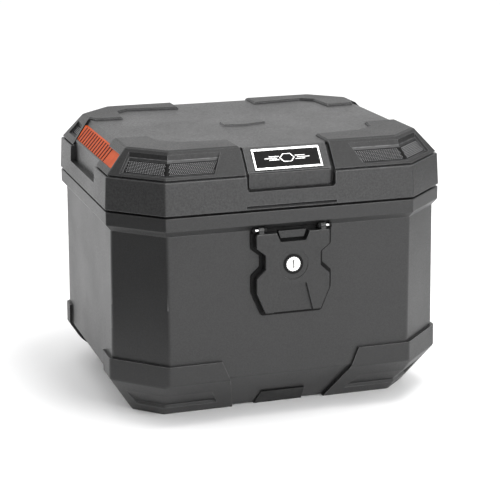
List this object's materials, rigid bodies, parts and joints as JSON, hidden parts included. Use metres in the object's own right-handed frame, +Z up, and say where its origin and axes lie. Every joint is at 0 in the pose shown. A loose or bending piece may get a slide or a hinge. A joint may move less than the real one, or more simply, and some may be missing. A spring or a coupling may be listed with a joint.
{
  "type": "rigid motorcycle top case",
  "caption": "Rigid top-opening motorcycle luggage case with corner caps, side reflectors, a hinged lid and a keyed latch flap.",
  "frame": {"origin": "on the ground under the middle of the case", "axes": "+Z up, -Y towards the latch side, +Y towards the hinges, +X to the right of someone facing the latch"},
  "size_m": [0.4098, 0.374, 0.3215],
  "materials": {
    "shell_plastic": "fine grain, matte",
    "cap_plastic": "coarse grain, matte",
    "guard_plastic": "fine grain, matte",
    "mesh_plastic": "perforated pattern",
    "black_plastic": "satin",
    "reflector": "glossy, ribbed",
    "bright_metal": "polished",
    "steel": "zinc plated",
    "rubber": "matte",
    "red_plastic": "satin"
  },
  "bodies": {
    "base": {"base_shell": "shell_plastic", "rim_gasket": "rubber", "corner_guard_front_left": "guard_plastic", "corner_guard_front_right": "guard_plastic", "corner_guard_rear_left": "guard_plastic", "corner_guard_rear_right": "guard_plastic", "front_foot_pad": "rubber", "mount_socket_left": "black_plastic", "mount_socket_right": "black_plastic", "floor_mat": "rubber", "latch_bay": "black_plastic", "latch_hinge_pins": "bright_metal", "hook_housing": "steel", "housing_screws": "steel", "hook_pin": "steel", "mechanism_cover": "black_plastic", "hinge_bracket_left": "black_plastic", "hinge_bracket_right": "black_plastic", "hinge_pin_left": "steel", "hinge_pin_right": "steel", "bracket_screws": "steel"},
    "lid": {"lid_shell": "shell_plastic", "lid_cap_front_left": "cap_plastic", "lid_cap_front_right": "cap_plastic", "lid_cap_rear_left": "cap_plastic", "lid_cap_rear_right": "cap_plastic", "mesh_insert_front_left": "mesh_plastic", "mesh_insert_front_right": "mesh_plastic", "mesh_insert_rear_left": "mesh_plastic", "mesh_insert_rear_right": "mesh_plastic", "reflector_left": "reflector", "reflector_right": "reflector", "side_recess_panel_left": "shell_plastic", "side_recess_panel_right": "shell_plastic", "lid_front_insert": "cap_plastic", "badge_frame": "bright_metal", "badge_plate": "black_plastic", "lid_striker": "steel", "striker_screws": "steel", "hinge_leaf_left": "black_plastic", "hinge_leaf_right": "black_plastic", "leaf_screws": "steel"},
    "latch_cover": {"latch_cover": "cap_plastic", "lock_barrel": "black_plastic", "lock_nut": "steel"},
    "lock_cylinder": {"lock_cylinder": "bright_metal", "lock_cam": "steel", "cam_screw": "steel"},
    "latch_hook": {"latch_hook": "steel"},
    "mount_release": {"release_button": "red_plastic", "release_link": "black_plastic", "mount_bolt": "steel"}
  },
  "joints": [
    {"name": "lid_hinge", "type": "hinge", "parent": "base", "child": "lid", "pos_m": [0, 0.183, 0.2512], "axis": [-1, 0, 0], "range_deg": [0, 95]},
    {"name": "latch_cover_hinge", "type": "hinge", "parent": "base", "child": "latch_cover", "pos_m": [0, -0.182, 0.228], "axis": [-1, 0, 0], "range_deg": [0, 70]},
    {"name": "lock_turn", "type": "hinge", "parent": "latch_cover", "child": "lock_cylinder", "pos_m": [0, -0.18, 0.1865], "axis": [0, 1, 0], "range_deg": [0, 90]},
    {"name": "hook_turn", "type": "hinge", "parent": "base", "child": "latch_hook", "pos_m": [0, -0.158, 0.214], "axis": [1, 0, 0], "range_deg": [0, 24]},
    {"name": "mount_release_slide", "type": "slide", "parent": "base", "child": "mount_release", "axis": [0, 1, 0], "range_m": [0, 0.005], "stiffness_N_per_m": 400, "springref_m": -0.004}
  ],
  "couplings": [
    {"joint": "hook_turn", "follows": "lock_turn", "ratio": 0.26667}
  ]
}
